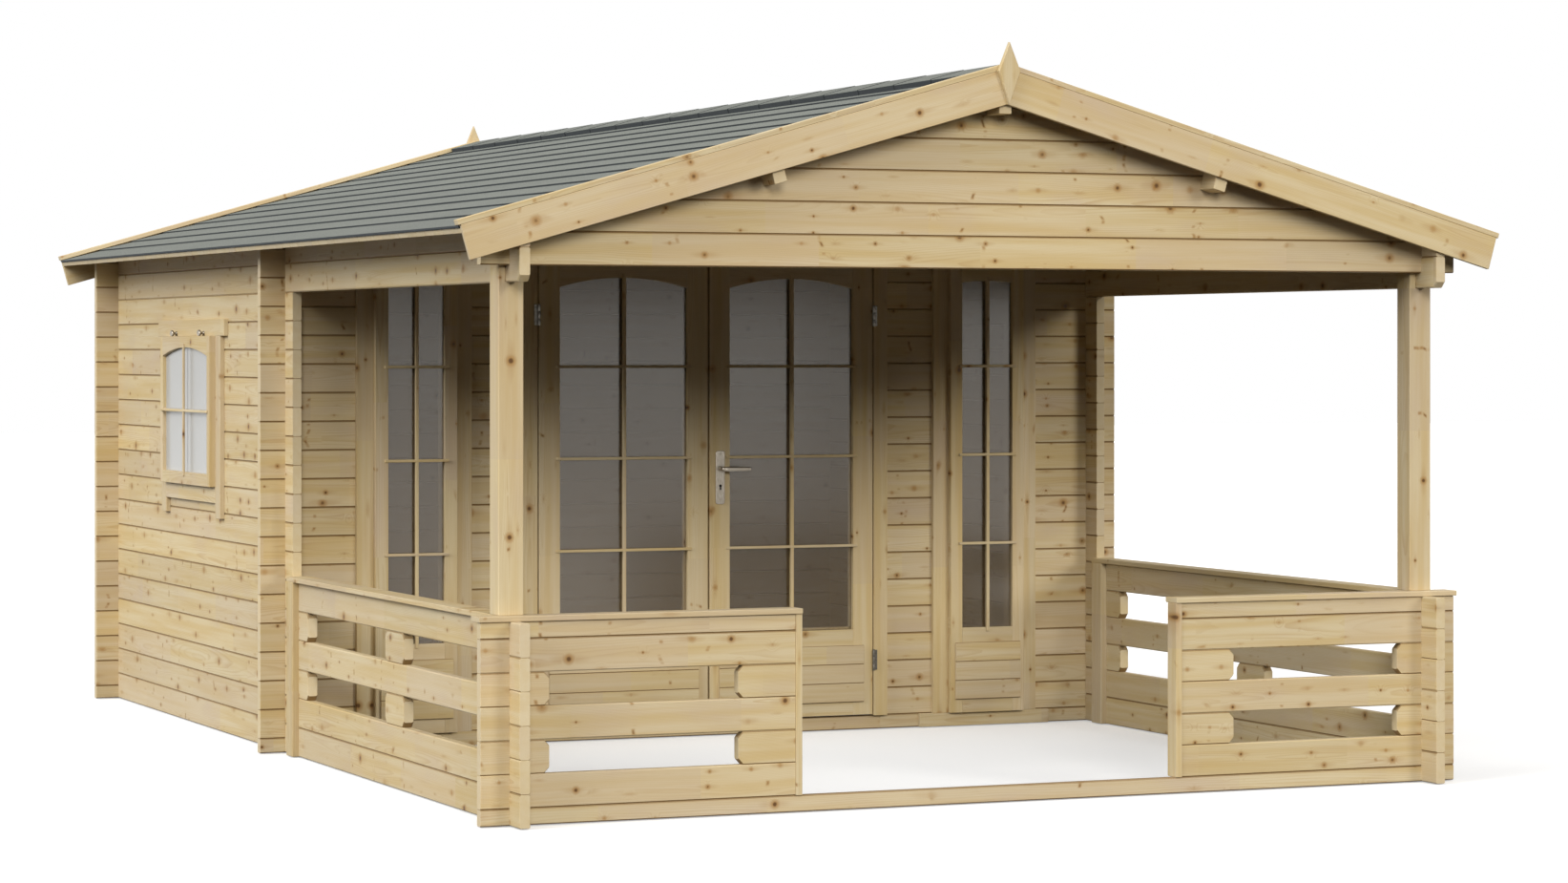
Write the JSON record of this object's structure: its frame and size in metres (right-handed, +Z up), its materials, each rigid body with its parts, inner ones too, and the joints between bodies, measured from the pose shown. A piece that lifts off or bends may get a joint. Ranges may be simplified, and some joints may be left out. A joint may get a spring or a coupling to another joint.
{
  "type": "log cabin",
  "caption": "Gable-front log cabin of square-sawn interlocking logs with a roofed veranda, log balustrades, glazed double doors and shingled roof.",
  "frame": {"origin": "centre of the bounding box at ground level, under the lowest logs", "axes": "+Z up; the gabled front with the veranda faces -Y; +Y runs to the rear along the ridge; +X to the right seen from the front"},
  "size_m": [4.0516, 5.829, 2.673],
  "materials": {
    "log": "planed spruce log, untreated",
    "trim": "planed spruce board, untreated",
    "joinery": "planed spruce joinery, untreated",
    "deck_board": "planed spruce roof board",
    "purlin": "planed spruce beam",
    "shingle": "grey mineral-surfaced bitumen shingle, matt",
    "glass": "clear float glass",
    "satin_nickel": "satin nickel plate",
    "zinc": "galvanised steel"
  },
  "bodies": {
    "cabin": {"left_wall": "log", "right_wall": "log", "rear_wall": "log", "front_wall_left": "log", "front_wall_right": "log", "inner_gable": "log", "veranda_gable": "log", "left_top_log": "log", "right_top_log": "log", "door_sill_log": "log", "front_sill_log": "log", "left_balustrade": "log", "right_balustrade": "log", "front_balustrade_left": "log", "front_balustrade_right": "log", "left_rail": "trim", "right_rail": "trim", "cover_post_left": "trim", "cover_post_right": "trim", "veranda_post_left": "trim", "veranda_post_right": "trim", "ridge_purlin": "purlin", "purlin_left": "purlin", "purlin_right": "purlin", "roof_deck_left": "deck_board", "roof_deck_right": "deck_board", "shingles_left": "shingle", "shingles_right": "shingle", "front_barge": "trim", "rear_barge": "trim", "door_frame": "joinery", "door_hinges": "zinc", "tall_window_left": "joinery", "tall_window_right": "joinery", "tall_glass_left": "glass", "tall_glass_right": "glass", "side_window": "joinery", "side_window_glass": "glass"},
    "left_leaf": {"door_leaf_left": "joinery", "door_glass_left": "glass"},
    "right_leaf": {"door_leaf_right": "joinery", "door_glass_right": "glass", "door_plates": "satin_nickel"},
    "lever": {"door_lever": "satin_nickel"}
  },
  "joints": [
    {"name": "left_leaf_hinge", "type": "hinge", "parent": "cabin", "child": "left_leaf", "pos_m": [-0.7465, -0.1195, 1], "axis": [0, 0, -1], "range_deg": [0, 115]},
    {"name": "right_leaf_hinge", "type": "hinge", "parent": "cabin", "child": "right_leaf", "pos_m": [0.7465, -0.1195, 1], "axis": [0, 0, 1], "range_deg": [0, 115]},
    {"name": "lever_turn", "type": "hinge", "parent": "right_leaf", "child": "lever", "pos_m": [0.05, -0.1115, 1.103], "axis": [0, 1, 0], "range_deg": [0, 45], "stiffness_Nm_per_rad": 1.2, "springref_deg": -17.19}
  ]
}
